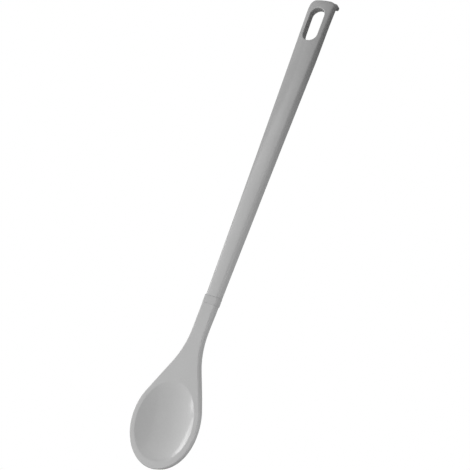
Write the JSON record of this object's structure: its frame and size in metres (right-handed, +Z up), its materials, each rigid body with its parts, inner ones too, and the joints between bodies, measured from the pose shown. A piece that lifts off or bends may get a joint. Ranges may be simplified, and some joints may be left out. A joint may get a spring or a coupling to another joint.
{
  "type": "cooking spoon",
  "caption": "Long cooking spoon with a shallow oval dish, a crowned, tapered handle with a hanging slot and a hooked lip at its end, joined by a collar at the neck.",
  "frame": {"origin": "on the table under the middle of the spoon's length and width, with the spoon lying on its back, dish upwards", "axes": "+X across the spoon, +Y along it from the tip of the bowl to the end of the handle, +Z up out of the dish"},
  "size_m": [0.0442, 0.2996, 0.0097],
  "materials": {
    "handle_plastic": "satin moulded",
    "collar_plastic": "satin moulded",
    "head_plastic": "satin moulded"
  },
  "bodies": {
    "root": {"handle": "handle_plastic", "joint_collar": "collar_plastic", "spoon_head": "head_plastic"}
  },
  "joints": []
}
